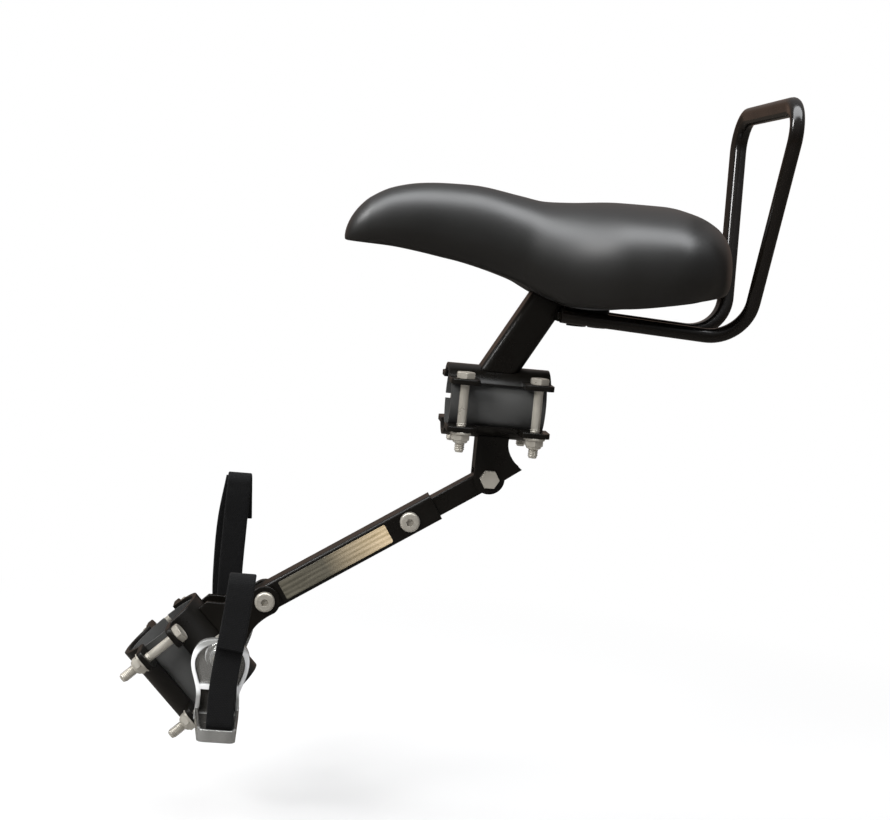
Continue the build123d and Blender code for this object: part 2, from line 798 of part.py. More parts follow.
def strap_plane(side, place):
    """Profile plane of a strap: outwards and up, seen along the bicycle."""
    return Plane(origin=(axle.X + place, 0, axle.Z), x_dir=(0, side, 0), z_dir=(side, 0, 0))


def lower_strap(side, place, top):
    """Band that lies on the tray, turns up inside its rim and leans in over the foot."""
    with BuildPart() as band:
        with BuildSketch(strap_plane(side, place)):
            with BuildLine():
                FilletPolyline(
                    (strap_inner_reach, strap_base),
                    (strap_outer, strap_base),
                    (strap_outer, strap_lean_start),
                    (strap_top_reach, top - strap_fold),
                    radius=[strap_bend / 2, strap_bend],
                )
            trace(line_width=strap_wall)
        extrude(amount=strap_width / 2, both=True)
        with BuildSketch(Plane(origin=axle, x_dir=(1, 0, 0), z_dir=(0, 0, 1)).offset(-ledge_drop)):
            with Locations((place, side * ledge_rivet_reach)):
                Circle(rivet_radius + seat_gap)
        extrude(amount=2 * strap_wall, mode=Mode.SUBTRACT)
    return band.part


def upper_strap(side, place, top, flap_end):
    """Band that rises from the arm inside the foot, folds over the lower band and hangs down outside it."""
    on_arm = rim_outer + strap_gap + strap_wall / 2
    slope = (strap_outer - strap_top_reach) / (top - strap_fold - strap_lean_start)
    flap_offset = (strap_wall + strap_gap) * (1 + slope * slope) ** 0.5
    flap_top = strap_top_reach + flap_offset - slope * strap_fold
    flap_foot = strap_top_reach + flap_offset + slope * (top - strap_fold - flap_end)
    with BuildPart() as band:
        with BuildSketch(strap_plane(side, place)):
            with BuildLine():
                FilletPolyline(
                    (on_arm, -strap_foot_drop),
                    (on_arm, -strap_rise_drop),
                    (strap_stand_off, strap_knee),
                    (flap_top - 2 * strap_fold_radius, top),
                    (flap_top, top),
                    (flap_foot, flap_end),
                    radius=[strap_bend, strap_bend, strap_fold_radius * 0.9, strap_fold_radius * 0.9],
                )
            trace(line_width=strap_wall)
        extrude(amount=strap_width / 2, both=True)
        with BuildSketch(foot_side):
            with Locations((place, -arm_rivet_drop)):
                Circle(rivet_radius + seat_gap)
        extrude(amount=-side * 2 * rim_outer, mode=Mode.SUBTRACT)
    return band.part


def strap_rivets(side, place):
    """Rivet through the arm and rivet through the tray, with a head on each side."""
    arm_top = rim_outer + strap_gap + strap_wall
    tray_plane = Plane(origin=axle, x_dir=(1, 0, 0), z_dir=(0, 0, 1)).offset(-ledge_drop)
    tray_top = strap_gap + strap_wall
    arm_plane = Plane(origin=axle, x_dir=(-side, 0, 0), z_dir=(0, side, 0))
    with BuildPart() as rivets:
        with BuildSketch(arm_plane.offset(footrest_offset)):
            with Locations((-side * place, -arm_rivet_drop)):
                Circle(rivet_radius)
        extrude(amount=arm_top - footrest_offset)
        with BuildSketch(arm_plane.offset(arm_top), arm_plane.offset(footrest_offset - rivet_head_height)):
            with Locations((-side * place, -arm_rivet_drop)):
                Circle(rivet_head_radius)
        extrude(amount=rivet_head_height)
        with BuildSketch(tray_plane.offset(-ledge_wall)):
            with Locations((place, side * ledge_rivet_reach)):
                Circle(rivet_radius)
        extrude(amount=ledge_wall + tray_top)
        with BuildSketch(tray_plane.offset(tray_top), tray_plane.offset(-ledge_wall - rivet_head_height)):
            with Locations((place, side * ledge_rivet_reach)):
                Circle(rivet_head_radius)
        extrude(amount=rivet_head_height)
    return rivets.part


# Straps and their rivets, the right strap pulled out further than the left
save(lower_strap(-1, left_strap_place, left_strap_top), "left_strap_lower")
save(upper_strap(-1, left_strap_place, left_strap_top, left_flap_end), "left_strap_upper")
save(strap_rivets(-1, left_strap_place), "left_strap_rivets")
save(lower_strap(1, right_strap_place, right_strap_top), "right_strap_lower")
save(upper_strap(1, right_strap_place, right_strap_top, right_flap_end), "right_strap_upper")
save(strap_rivets(1, right_strap_place), "right_strap_rivets")
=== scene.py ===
import json
import math

import bpy
import numpy as np
from mathutils import Matrix, Vector


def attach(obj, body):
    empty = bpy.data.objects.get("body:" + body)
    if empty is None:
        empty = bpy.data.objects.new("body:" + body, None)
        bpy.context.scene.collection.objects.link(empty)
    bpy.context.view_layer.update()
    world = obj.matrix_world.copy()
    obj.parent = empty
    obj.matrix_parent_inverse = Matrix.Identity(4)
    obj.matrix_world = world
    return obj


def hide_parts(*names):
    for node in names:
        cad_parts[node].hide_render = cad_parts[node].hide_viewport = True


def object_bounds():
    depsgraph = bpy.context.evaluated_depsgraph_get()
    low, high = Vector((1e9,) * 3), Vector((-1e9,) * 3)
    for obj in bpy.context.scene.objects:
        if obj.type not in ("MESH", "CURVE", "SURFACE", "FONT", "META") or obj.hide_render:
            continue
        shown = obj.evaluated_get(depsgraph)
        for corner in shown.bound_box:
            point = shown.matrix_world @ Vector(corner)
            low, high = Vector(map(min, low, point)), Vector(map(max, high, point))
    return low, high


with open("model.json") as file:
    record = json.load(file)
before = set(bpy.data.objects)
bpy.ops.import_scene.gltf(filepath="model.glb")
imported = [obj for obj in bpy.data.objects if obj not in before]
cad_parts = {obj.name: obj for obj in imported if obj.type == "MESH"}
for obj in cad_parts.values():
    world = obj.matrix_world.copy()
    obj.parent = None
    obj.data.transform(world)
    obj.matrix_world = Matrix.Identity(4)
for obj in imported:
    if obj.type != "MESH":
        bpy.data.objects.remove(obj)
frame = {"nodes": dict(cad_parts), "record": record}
cad_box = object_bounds()
nodes = frame["nodes"]

# Lengths are written in millimetres, in the part's own frame, and scaled to metres where a mesh is made.
MM = 0.001

# Camera of the photograph: place, viewing axes, and focal length for the width of the sensor
camera_place = (-123.79, -978.06, 95.24)
camera_right = (0.99175, -0.0860, 0.09507)
camera_up = (-0.08519, 0.1120, 0.99007)
camera_lens = 67.55
sensor_width = 36.0

# Clamps and their fasteners, as the solids have them
down_angle = math.radians(46.0)
down_along = Vector((math.cos(down_angle), 0, -math.sin(down_angle)))
down_up = Vector((math.sin(down_angle), 0, math.cos(down_angle)))
bolt_spacing = 43.0
bolt_radius = 3.0
shank_radius = 2.65
hex_flats = 10.0
head_height = 4.0
nut_height = 5.0
washer_radius = 6.2
washer_height = 1.5
thread_pitch = 1.0
thread_depth = 0.54
thread_above_ear = 5.0

# Strut: the upper pivot, the direction down the strut, its length between pivots and the tube's section
strut_angle = math.radians(33.5)
strut_pivot = Vector((0, 0, -45.0))
strut_ahead = Vector((-math.cos(strut_angle), 0, -math.sin(strut_angle)))
strut_up = Vector((-math.sin(strut_angle), 0, math.cos(strut_angle)))
strut_length = 150.2
tube_half = 8.0
lower_pivot = strut_pivot + strut_ahead * strut_length

# Down clamp's bore from the lower pivot, and the footrests' axle from the bore:
# square to the down tube and along it
bore_below_pivot, bore_along = 57.0, 0.7
axle_above_bore, axle_along = 24.6, 1.4
down_centre = lower_pivot - down_up * bore_below_pivot + down_along * bore_along
axle = down_centre + down_up * axle_above_bore + down_along * axle_along

# Footrests: how far out the arm's face, its rim and the tray's outer wall stand from the middle plane
rim_inner, rim_outer = 47.5, 50.5
tray_wall = (85.0, 87.0)
# Heights from the axle: the middle of the rims' painted highlight, how far it reaches, and where painted
# shade darkens the lower face inside the tray
painted_highlight_height = -9.0
painted_highlight_reach = (11.0, 15.0)
painted_shade_heights = (-20.5, -17.0)
# Axle nuts: the gap outside the rim and the bore
nut_gap, axle_nut_bore = 0.4, 4.1

# Bare plate on the tube's near face, measured down the strut, and the shares of it between which painted
# shade darkens it
plate_from, plate_to = 67.2, 138.4
plate_half_width, plate_thickness = 5.8, 0.25
plate_corner, plate_edge = 1.0, 0.12
plate_painted_shade = (0.05, 0.60)

# Saddle: place, half width, top and bottom
saddle_stations = [
    (-97.3, 3.0, 92.0, 87.6),
    (-96.3, 8.0, 96.0, 87.0),
    (-94.0, 12.0, 101.4, 86.8),
    (-90.0, 15.5, 107.4, 86.6),
    (-84.0, 18.5, 113.3, 86.4),
    (-72.0, 21.8, 120.0, 86.0),
    (-56.0, 24.0, 124.0, 84.3),
    (-42.0, 25.3, 125.3, 82.2),
    (-26.0, 27.0, 125.7, 79.7),
    (4.0, 34.5, 122.0, 72.0),
    (17.0, 42.6, 120.2, 66.2),
    (32.0, 52.0, 121.0, 61.2),
    (60.0, 69.0, 123.6, 63.4),
    (86.0, 75.0, 123.9, 68.0),
    (104.0, 67.5, 120.8, 71.8),
    (115.5, 55.0, 116.0, 74.0),
    (123.5, 38.5, 109.2, 75.7),
    (128.0, 22.0, 100.8, 77.2),
    (129.6, 8.0, 93.5, 79.5),
]


# Curves
def cubic_through(xs, ys, tangent, x):
    """Curve through the points with a given slope at each of them."""
    i = np.clip(np.searchsorted(xs, x) - 1, 0, len(xs) - 2)
    step = xs[i + 1] - xs[i]
    t = (x - xs[i]) / step
    return (
        (2 * t**3 - 3 * t**2 + 1) * ys[i]
        + (t**3 - 2 * t**2 + t) * step * tangent[i]
        + (-2 * t**3 + 3 * t**2) * ys[i + 1]
        + (t**3 - t**2) * step * tangent[i + 1]
    )


def monotone(xs, ys, x):
    """Smooth curve through the points that doesn't overshoot between them."""
    xs, ys, x = np.asarray(xs, float), np.asarray(ys, float), np.asarray(x, float)
    step = np.diff(xs)
    slope = np.diff(ys) / step
    tangent = np.zeros(len(xs))
    tangent[0], tangent[-1] = slope[0], slope[-1]
    same = slope[:-1] * slope[1:] > 0
    wide = step[1:] + 2 * step[:-1]
    narrow = 2 * step[1:] + step[:-1]
    with np.errstate(divide="ignore", invalid="ignore"):
        mean = (wide + narrow) / (wide / slope[:-1] + narrow / slope[1:])
    tangent[1:-1] = np.where(same, mean, 0.0)
    return cubic_through(xs, ys, tangent, x)


def lengths_along(points):
    """Length of a line of points up to each of them."""
    return np.concatenate([[0.0], np.cumsum(np.linalg.norm(np.diff(points, axis=0), axis=1))])


# Meshes
def mesh_object(name, points, faces, smooth=True):
    """Mesh from points in millimetres."""
    mesh = bpy.data.meshes.new(name)
    mesh.from_pydata([tuple(float(c) * MM for c in p) for p in points], [], faces)
    mesh.polygons.foreach_set("use_smooth", [smooth] * len(mesh.polygons))
    mesh.update()
    obj = bpy.data.objects.new(name, mesh)
    bpy.context.scene.collection.objects.link(obj)
    return obj


def lay_texture(obj, places):
    """Texture map of a piece, from a flat place in millimetres for each of its points."""
    layer = obj.data.uv_layers.new(name="UVMap")
    for loop in obj.data.loops:
        u, v = places[loop.vertex_index]
        layer.data[loop.index].uv = (u * MM, v * MM)


def loft_faces(ring_count, ring_size):
    """Quads between rings of points that are stored one after another, with the end rings filled."""
    faces = []
    for i in range(ring_count - 1):
        a, b = i * ring_size, (i + 1) * ring_size
        for j in range(ring_size):
            k = (j + 1) % ring_size
            faces.append((a + j, a + k, b + k, b + j))
    last = (ring_count - 1) * ring_size
    faces.append(tuple(reversed(range(ring_size))))
    faces.append(tuple(range(last, last + ring_size)))
    return faces


def turned(rings, segments=48):
    """Points and faces of a turned solid, from radii and heights that may be functions of the angle."""
    points = []
    for radius, height in rings:
        for j in range(segments):
            a = 2 * math.pi * j / segments
            r = radius(a) if callable(radius) else radius
            z = height(a) if callable(height) else height
            points.append(Vector((r * math.cos(a), r * math.sin(a), z)))
    return points, loft_faces(len(rings), segments)


def joined(name, solids):
    """One object from several lists of points and faces, each moved by its own matrix."""
    points, faces = [], []
    for (solid_points, solid_faces), matrix in solids:
        base = len(points)
        points += [matrix @ p for p in solid_points]
        faces += [tuple(base + i for i in f) for f in solid_faces]
    return mesh_object(name, points, faces)


def crease_smooth(obj, degrees=28):
    """Smooth shading that keeps edges sharper than an angle."""
    obj.data.set_sharp_from_angle(angle=math.radians(degrees))
    return obj


# Materials
def new_material(name, color, roughness, metallic=0.0, specular=0.5):
    """Material with a Principled shader; returns it with its node tree and shader."""
    material = bpy.data.materials.new(name)
    material.use_nodes = True
    tree = material.node_tree
    shader = tree.nodes["Principled BSDF"]
    shader.inputs["Base Color"].default_value = (*color, 1.0)
    shader.inputs["Roughness"].default_value = roughness
    shader.inputs["Metallic"].default_value = metallic
    shader.inputs["Specular IOR Level"].default_value = specular
    return material, tree, shader


def feed(tree, socket, value):
    """Links another node's output to a socket, or sets a number or a colour on it."""
    if isinstance(value, bpy.types.NodeSocket):
        tree.links.new(value, socket)
    elif isinstance(value, tuple):
        socket.default_value = (*value, 1.0)
    else:
        socket.default_value = value


def coordinates(tree, source="Object"):
    """Places in the part's own frame, or on a piece's own texture map."""
    return tree.nodes.new("ShaderNodeTexCoord").outputs[source]


def axes(tree, place):
    """The X, Y and Z of a place or a direction."""
    node = tree.nodes.new("ShaderNodeSeparateXYZ")
    tree.links.new(place, node.inputs["Vector"])
    return node.outputs


def computed(tree, operation, *values):
    """Arithmetic on numbers and other nodes' outputs."""
    node = tree.nodes.new("ShaderNodeMath")
    node.operation = operation
    for socket, value in zip(node.inputs, values):
        feed(tree, socket, value)
    return node.outputs["Value"]


def noise(tree, place, scale, detail, stretch=None):
    """Noise texture, stretched along an axis where a direction of brushing or flow shows."""
    if stretch is not None:
        mapping = tree.nodes.new("ShaderNodeMapping")
        mapping.inputs["Scale"].default_value = stretch
        tree.links.new(place, mapping.inputs["Vector"])
        place = mapping.outputs["Vector"]
    texture = tree.nodes.new("ShaderNodeTexNoise")
    texture.inputs["Scale"].default_value = scale
    texture.inputs["Detail"].default_value = detail
    texture.inputs["Roughness"].default_value = 0.55
    tree.links.new(place, texture.inputs["Vector"])
    return texture.outputs["Fac"]


def stripes(tree, place, direction, scale, distortion=0.0):
    """Even bands that follow each other in a direction."""
    node = tree.nodes.new("ShaderNodeTexWave")
    node.wave_type = "BANDS"
    node.bands_direction = direction
    node.inputs["Scale"].default_value = scale
    node.inputs["Distortion"].default_value = distortion
    tree.links.new(place, node.inputs["Vector"])
    return node.outputs["Fac"]


def spread(tree, value, low, high, from_low=0.3, from_high=0.7):
    """Maps a texture's middle range to the range that the shader needs."""
    node = tree.nodes.new("ShaderNodeMapRange")
    node.inputs["From Min"].default_value = from_low
    node.inputs["From Max"].default_value = from_high
    node.inputs["To Min"].default_value = low
    node.inputs["To Max"].default_value = high
    tree.links.new(value, node.inputs["Value"])
    return node.outputs["Result"]


def color_between(tree, value, dark, light):
    """Two colours, plain or from other nodes, mixed by a texture."""
    node = tree.nodes.new("ShaderNodeMix")
    node.data_type = "RGBA"
    feed(tree, node.inputs["A"], dark)
    feed(tree, node.inputs["B"], light)
    tree.links.new(value, node.inputs["Factor"])
    return node.outputs["Result"]


def drift(tree, shader, texture, dark, light, roughness=None):
    """Lets a texture carry the colour, and the roughness where a range is given."""
    tree.links.new(color_between(tree, texture, dark, light), shader.inputs["Base Color"])
    if roughness is not None:
        tree.links.new(spread(tree, texture, *roughness), shader.inputs["Roughness"])


def add_bump(tree, shader, height, strength, distance, base=None):
    """Bump on the shader's normal, over another normal where one is given."""
    node = tree.nodes.new("ShaderNodeBump")
    node.inputs["Strength"].default_value = strength
    node.inputs["Distance"].default_value = distance * MM
    tree.links.new(height, node.inputs["Height"])
    if base is not None:
        tree.links.new(base, node.inputs["Normal"])
    tree.links.new(node.outputs["Normal"], shader.inputs["Normal"])
    return node.outputs["Normal"]


def soft_edges(tree, radius):
    """Rounded-edge normal for a machined or stamped piece."""
    node = tree.nodes.new("ShaderNodeBevel")
    node.samples = 6
    node.inputs["Radius"].default_value = radius * MM
    return node.outputs["Normal"]


def saddle_material():
    """Black moulded skin with a fine grain and a satin sheen."""
    material, tree, shader = new_material("saddle_skin", (0.005, 0.005, 0.005), 0.42, specular=0.78)
    place = coordinates(tree)
    cloud = noise(tree, place, 22.0, 3.0)
    drift(tree, shader, cloud, (0.0026, 0.0024, 0.0020), (0.0048, 0.0046, 0.0040), (0.38, 0.46))
    cells = tree.nodes.new("ShaderNodeTexVoronoi")
    cells.feature = "DISTANCE_TO_EDGE"
    cells.inputs["Scale"].default_value = 1100.0
    tree.links.new(place, cells.inputs["Vector"])
    grain = add_bump(tree, shader, cells.outputs["Distance"], strength=0.10, distance=0.12)
    add_bump(tree, shader, noise(tree, place, 60.0, 2.0), strength=0.03, distance=0.6, base=grain)
    return material


def paint_material(name, color, roughness, specular, edge):
    """Black paint on steel, with a faint orange-peel surface."""
    material, tree, shader = new_material(name, color, roughness, specular=specular)
    place = coordinates(tree)
    cloud = noise(tree, place, 40.0, 4.0)
    lighter = tuple(c * 2.0 + 0.0004 for c in color)
    drift(tree, shader, cloud, color, lighter, (roughness - 0.06, roughness + 0.08))
    peel = noise(tree, place, 420.0, 2.0)
    add_bump(tree, shader, peel, strength=0.05, distance=0.3, base=soft_edges(tree, edge))
    return material


def metal_material(name, dark, light, roughness, edge, metallic):
    """Plated metal whose tone and gloss drift over the surface."""
    material, tree, shader = new_material(name, light, roughness, metallic=metallic)
    place = coordinates(tree)
    cloud = noise(tree, place, 90.0, 5.0)
    drift(tree, shader, cloud, dark, light, (roughness - 0.05, roughness + 0.1))
    grain = noise(tree, place, 700.0, 3.0)
    add_bump(tree, shader, grain, strength=0.06, distance=0.1, base=soft_edges(tree, edge))
    return material


def footrest_material():
    """Polished stirrup: rims with a painted highlight, a darker face between them with faint upright
    streaks, painted shade low in the tray.
    """
    material, tree, shader = new_material("plated_footrest", (0.5, 0.5, 0.49), 0.2, metallic=0.8)
    place = coordinates(tree)
    split = axes(tree, place)
    outwards = computed(tree, "ABSOLUTE", split["Y"])
    # Rims of the arm, painted near-white as a highlight that fades to grey away from one height
    raised = spread(tree, outwards, 0.0, 1.0, rim_inner * MM, (rim_outer - 0.6) * MM)
    on_arm_only = spread(tree, outwards, 1.0, 0.0, (rim_outer + 0.3) * MM, (rim_outer + 0.8) * MM)
    rim = computed(tree, "MULTIPLY", raised, on_arm_only)
    from_middle = computed(tree, "SUBTRACT", split["Z"], (axle.z + painted_highlight_height) * MM)
    away = computed(tree, "ABSOLUTE", from_middle)
    highlight_falloff = spread(tree, away, 0.0, 1.0, painted_highlight_reach[0] * MM, painted_highlight_reach[1] * MM)
    rim_painted_highlight = color_between(tree, highlight_falloff, (0.93, 0.93, 0.93), (0.34, 0.34, 0.33))
    # Face between the rims, with painted shade low inside the tray
    streaks = noise(tree, place, 160.0, 3.0, stretch=(1.0, 1.0, 0.12))
    upper_face = color_between(tree, streaks, (0.22, 0.22, 0.21), (0.60, 0.60, 0.58))
    lower_face = color_between(tree, streaks, (0.03, 0.03, 0.028), (0.20, 0.19, 0.175))
    # Painted shade: below these heights, inside the tray, the face takes the much darker tones
    dark_from, dark_to = ((axle.z + height) * MM for height in painted_shade_heights)
    low = spread(tree, split["Z"], 1.0, 0.0, dark_from, dark_to)
    inside = spread(tree, outwards, 1.0, 0.0, tray_wall[0] * MM, tray_wall[1] * MM)
    face = color_between(tree, computed(tree, "MULTIPLY", low, inside), upper_face, lower_face)
    drift(tree, shader, rim, face, rim_painted_highlight)
    # The rims are less metallic, so that their painted highlight shows as bright colour
    tree.links.new(spread(tree, rim, 0.75, 0.15, 0.0, 1.0), shader.inputs["Metallic"])
    tree.links.new(spread(tree, streaks, 0.16, 0.28), shader.inputs["Roughness"])
    tree.links.new(soft_edges(tree, 0.9), shader.inputs["Normal"])
    return material


def rubber_material():
    """Dull dark rubber of the clamps' sleeves."""
    material, tree, shader = new_material("liner_rubber", (0.03, 0.03, 0.031), 0.62, specular=0.4)
    place = coordinates(tree)
    cloud = noise(tree, place, 60.0, 5.0)
    drift(tree, shader, cloud, (0.036, 0.036, 0.035), (0.062, 0.062, 0.060), (0.52, 0.7))
    add_bump(tree, shader, noise(tree, place, 900.0, 3.0), strength=0.12, distance=0.2)
    return material


def plastic_material():
    """Black moulded plastic of the saddle's base, with a fine grain."""
    material, tree, shader = new_material("saddle_plastic", (0.012, 0.012, 0.012), 0.55)
    place = coordinates(tree)
    cloud = noise(tree, place, 50.0, 3.0)
    drift(tree, shader, cloud, (0.009, 0.009, 0.009), (0.016, 0.016, 0.016))
    grain = noise(tree, place, 1200.0, 2.0)
    add_bump(tree, shader, grain, strength=0.15, distance=0.15, base=soft_edges(tree, 0.8))
    return material


def webbing_material():
    """Black woven tape: ribs across the band and a fine twill between its edges."""
    material, tree, shader = new_material("webbing", (0.003, 0.003, 0.003), 0.82, specular=0.2)
    shader.inputs["Sheen Weight"].default_value = 0.03
    shader.inputs["Sheen Roughness"].default_value = 0.5
    place = coordinates(tree, "UV")
    ribs = stripes(tree, place, "X", 330.0, distortion=0.6)
    yarns = stripes(tree, place, "DIAGONAL", 420.0)
    weave = computed(tree, "MULTIPLY", ribs, yarns)
    drift(tree, shader, weave, (0.0020, 0.0020, 0.0021), (0.0066, 0.0066, 0.0070))
    add_bump(tree, shader, weave, strength=0.5, distance=0.25)
    return material


def plate_material():
    """Champagne anodised plate with lengthwise lines, and painted shade that darkens it towards the strut's
    lower end.
    """
    material, tree, shader = new_material("strut_plate", (0.55, 0.48, 0.36), 0.38, metallic=0.15)
    place = coordinates(tree, "UV")
    lines = stripes(tree, place, "Y", 105.0, distortion=0.5)
    streaks = noise(tree, place, 520.0, 2.0, stretch=(0.07, 1.0, 1.0))
    drawn = spread(tree, lines, 0.0, 0.45, 0.0, 1.0)
    worn = computed(tree, "ADD", drawn, spread(tree, streaks, 0.0, 0.55))
    # Painted shade: both tones of the lines darken from the plate's upper end towards the strut's lower end
    fade_from, fade_to = ((plate_from + share * (plate_to - plate_from)) * MM for share in plate_painted_shade)
    down = spread(tree, axes(tree, place)["X"], 0.0, 1.0, fade_from, fade_to)
    raised = color_between(tree, down, (0.68, 0.54, 0.36), (0.135, 0.123, 0.092))
    sunk = color_between(tree, down, (0.33, 0.25, 0.13), (0.05, 0.045, 0.032))
    drift(tree, shader, worn, sunk, raised)
    brushed = noise(tree, place, 800.0, 3.0, stretch=(0.05, 1.0, 1.0))
    tree.links.new(spread(tree, brushed, 0.3, 0.5), shader.inputs["Roughness"])
    return material


rod_black = (0.0018, 0.0012, 0.0008)
paint_black = (0.0026, 0.0022, 0.0017)
zinc_dark, zinc_light = (0.35, 0.325, 0.277), (0.59, 0.56, 0.494)
materials = {
    "saddle_skin": saddle_material(),
    "saddle_plastic": plastic_material(),
    "gloss_black_rod": paint_material("gloss_black_rod", rod_black, roughness=0.17, specular=0.6, edge=0.3),
    "black_paint": paint_material("black_paint", paint_black, roughness=0.30, specular=0.28, edge=1.2),
    "zinc": metal_material("zinc", zinc_dark, zinc_light, roughness=0.31, edge=0.25, metallic=0.6),
    "liner_rubber": rubber_material(),
    "plated_footrest": footrest_material(),
    "webbing": webbing_material(),
}
plate_finish = plate_material()

for row in frame["record"]["subparts"]:
    mesh = nodes[row["node"]].data
    mesh.materials.clear()
    mesh.materials.append(materials[row["material_slot"]])


def finish_piece(obj, material, body, slot_name, *stands_for):
    """Gives a piece its material and its body, and hides the solids that it stands for; slot_name is not
    used.
    """
    obj.data.materials.append(material)
    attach(obj, body)
    if stands_for:
        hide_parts(*stands_for)
    return obj


# Saddle: a padded skin over the base, crowned above its widest line and rolled in round the base below it
waist_share = 0.32
tuck_limit, tuck_of_width, tuck_of_height = 9.0, 0.30, 0.5
# The underside is hollow, and comes down to its rim outside the middle share
underside_recess, hollow_share = 1.5, 0.6
# How square the crown is where the saddle is narrow, and what is added up to a half width
crown_power, wide_crown_power, wide_crown_width = 2.15, 0.35, 70.0
# Where the narrow front widens to the seat, the shoulders slope more evenly
shoulder_place, shoulder_spread, shoulder_softness = 30.0, 28.0, 0.3
# Points of half a section, and sections of the nose, the middle and the tail
underside_points, roll_points, crown_points = 5, 7, 14
nose_end, tail_start = -84.0, 112.0
nose_sections, middle_sections, tail_sections = 11, 55, 18


def saddle_ring(half_width, top, bottom, x):
    """One closed section, from the middle of the underside round the right, the crown and the left."""
    height = top - bottom
    waist = bottom + waist_share * height
    tuck = min(tuck_limit, tuck_of_width * half_width, tuck_of_height * height)
    power = crown_power + wide_crown_power * min(1.0, half_width / wide_crown_width)
    power -= shoulder_softness * math.exp(-((x - shoulder_place) / shoulder_spread) ** 2)
    side = []
    for s in np.linspace(0.0, 1.0, underside_points + 1)[:-1]:
        roll = max(0.0, s - hollow_share) / (1.0 - hollow_share)
        side.append((s * (half_width - tuck), bottom + underside_recess * (1.0 - roll * roll)))
    for a in np.linspace(0.0, math.pi / 2, roll_points + 1)[:-1]:
        side.append((half_width - tuck + tuck * math.sin(a), bottom + (waist - bottom) * (1 - math.cos(a))))
    for a in np.linspace(0.0, math.pi / 2, crown_points):
        y = half_width * abs(math.cos(a)) ** (2 / power)
        side.append((y, waist + (top - waist) * math.sin(a) ** (2 / power)))
    right = [(x, y, z) for y, z in side]
    left = [(x, -y, z) for y, z in side[1:-1]]
    return right + left[::-1]


stations = np.array(saddle_stations)
nose, tail = stations[0, 0], stations[-1, 0]
sections = np.concatenate([
    np.linspace(nose, nose_end, nose_sections + 1)[:-1],
    np.linspace(nose_end, tail_start, middle_sections + 1)[:-1],
    tail_start + (tail - tail_start) * np.sin(np.linspace(0.0, math.pi / 2, tail_sections)),
])
saddle_columns = [monotone(stations[:, 0], stations[:, i], sections) for i in (1, 2, 3)]
rings = [saddle_ring(w, t, b, x) for x, w, t, b in zip(sections, *saddle_columns)]
saddle_points = [p for ring in rings for p in ring]
saddle = mesh_object("saddle_pad", saddle_points, loft_faces(len(rings), len(rings[0])))
rounding = saddle.modifiers.new("rounding", "SUBSURF")
rounding.levels = rounding.render_levels = 1
finish_piece(saddle, materials["saddle_skin"], "seat", "saddle_skin", "saddle_cover")


# Fasteners: where a hexagon's chamfer begins, as a share of its half width, and how steep it is
crown_share = 0.96
chamfer_slope = 0.58
thread_rows = 4


def hexagon(flats):
    """Radius of a hexagon at an angle, with a corner at angle 0."""
    return lambda a: flats / 2 / math.cos((a + math.pi / 6) % (math.pi / 3) - math.pi / 6)


def hex_head(flats, height, seat):
    """Bolt head with a washer face below and a chamfered top."""
    outer = hexagon(flats)
    crown = flats / 2 * crown_share
    return turned([
        (flats / 2 * 0.92, seat),
        (flats / 2 * 0.95, seat + 0.25),
        (outer, lambda a: seat + 0.25 + 0.3 * (outer(a) - crown)),
        (outer, lambda a: seat + height - chamfer_slope * (outer(a) - crown)),
        (crown, seat + height),
        (crown * 0.82, seat + height),
        (crown * 0.80, seat + height - 0.12),
        (0.2, seat + height - 0.12),
    ])


def threaded_rod(radius, top, bottom, thread_top, segments=24):
    """Shank with a rolled thread from a height down to its chamfered tip."""
    root = radius - thread_depth * thread_pitch
    crest = radius - 0.02
    tip_length = 1.2

    def thread_radius(row):
        """Radius of one row of the thread at an angle."""
        def at(a):
            phase = (row / thread_rows + a / (2 * math.pi)) % 1.0
            return root + (crest - root) * abs(2 * phase - 1)
        return at

    rings = [(shank_radius, top), (shank_radius, thread_top)]
    for row in range(int((thread_top - bottom - tip_length) / thread_pitch * thread_rows)):
        rings.append((thread_radius(row), thread_top - 0.2 - row * thread_pitch / thread_rows))
    rings += [(root, bottom + 0.8), (root - 0.3, bottom), (0.15, bottom)]
    return turned(rings[::-1], segments)


def lock_nut(flats, height, top, bore):
    """Nut that hangs from a height, with a rounded collar on its free end."""
    outer = hexagon(flats)
    crown = flats / 2 * crown_share
    body = height * 0.70
    return turned([
        (bore, top - height),
        (flats * 0.36, top - height),
        (flats * 0.415, top - height + 0.35),
        (flats * 0.44, top - height + 0.9),
        (flats * 0.445, top - body - 0.05),
        (crown, top - body),
        (outer, lambda a: top - body + chamfer_slope * (outer(a) - crown)),
        (outer, lambda a: top - chamfer_slope * (outer(a) - crown)),
        (crown, top),
        (bore, top),
    ])


def flat_washer(outer, bore, low, height):
    """Washer with broken edges, standing on a height."""
    edge = 0.2
    return turned([
        (bore, low),
        (outer - edge, low),
        (outer, low + edge),
        (outer, low + height - edge),
        (outer - edge, low + height),
        (bore, low + height),
    ])


